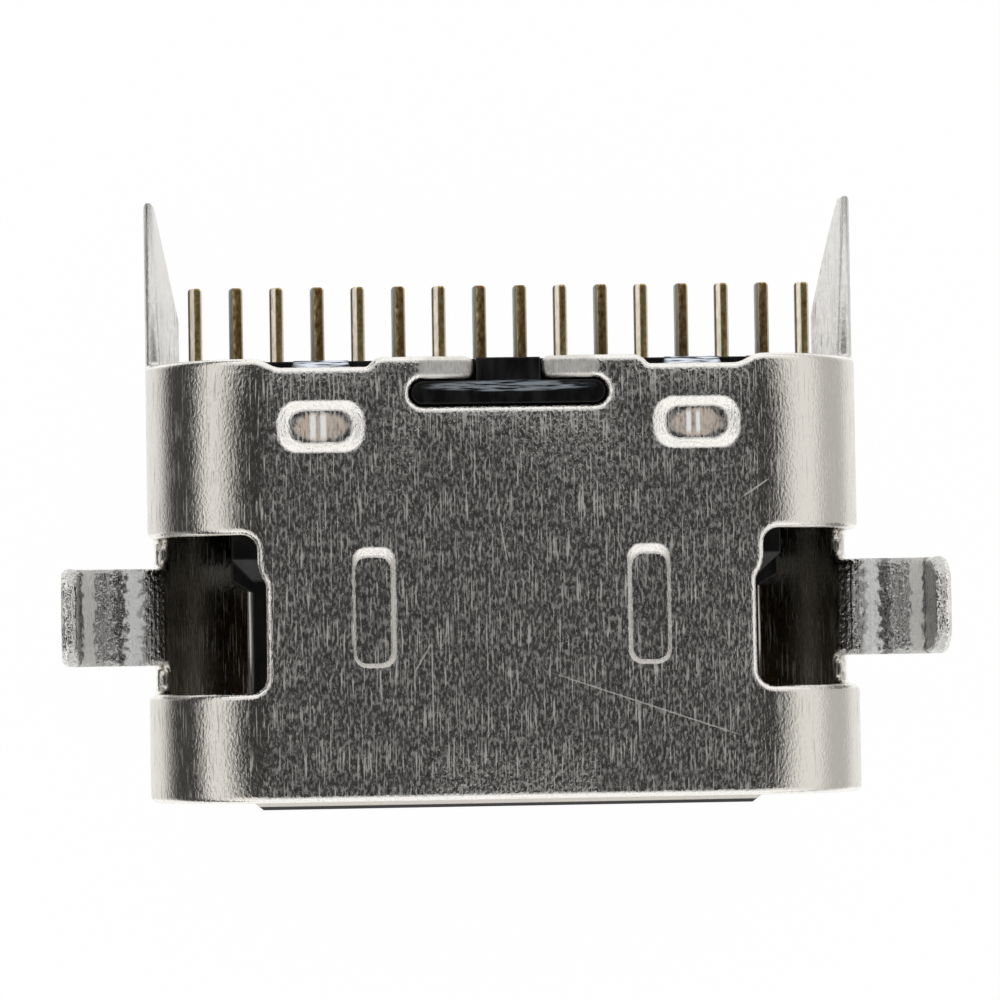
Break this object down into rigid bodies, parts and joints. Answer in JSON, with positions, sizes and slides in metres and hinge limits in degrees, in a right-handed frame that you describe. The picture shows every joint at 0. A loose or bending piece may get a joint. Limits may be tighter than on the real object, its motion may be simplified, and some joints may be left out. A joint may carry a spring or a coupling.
{
  "type": "charging port connector",
  "caption": "Small reversible charging socket for a cut-out circuit board: folded steel shell with side legs, moulded tongue and a row of solder tails.",
  "frame": {"origin": "middle of the closed flat wall that it rests on, in line with the middle of the legs", "axes": "+X across the socket, +Y from the mouth to the solder tails, +Z from the closed flat wall to the slotted wall"},
  "size_m": [0.0108, 0.0075, 0.003],
  "materials": {
    "shell_steel": "brushed bright nickel over stainless steel",
    "plate_steel": "stamped stainless steel",
    "contact_gold": "gold plated copper alloy",
    "housing_moulding": "glossy moulded",
    "carrier_moulding": "moulded"
  },
  "bodies": {
    "root": {"contact_01": "contact_gold", "contact_02": "contact_gold", "contact_03": "contact_gold", "contact_04": "contact_gold", "contact_05": "contact_gold", "contact_06": "contact_gold", "contact_07": "contact_gold", "contact_08": "contact_gold", "contact_09": "contact_gold", "contact_10": "contact_gold", "contact_11": "contact_gold", "contact_12": "contact_gold", "contact_13": "contact_gold", "contact_14": "contact_gold", "contact_15": "contact_gold", "contact_16": "contact_gold", "housing": "housing_moulding", "lower_carrier": "carrier_moulding", "mid_plate": "plate_steel", "shell": "shell_steel", "upper_carrier": "carrier_moulding"}
  },
  "joints": []
}
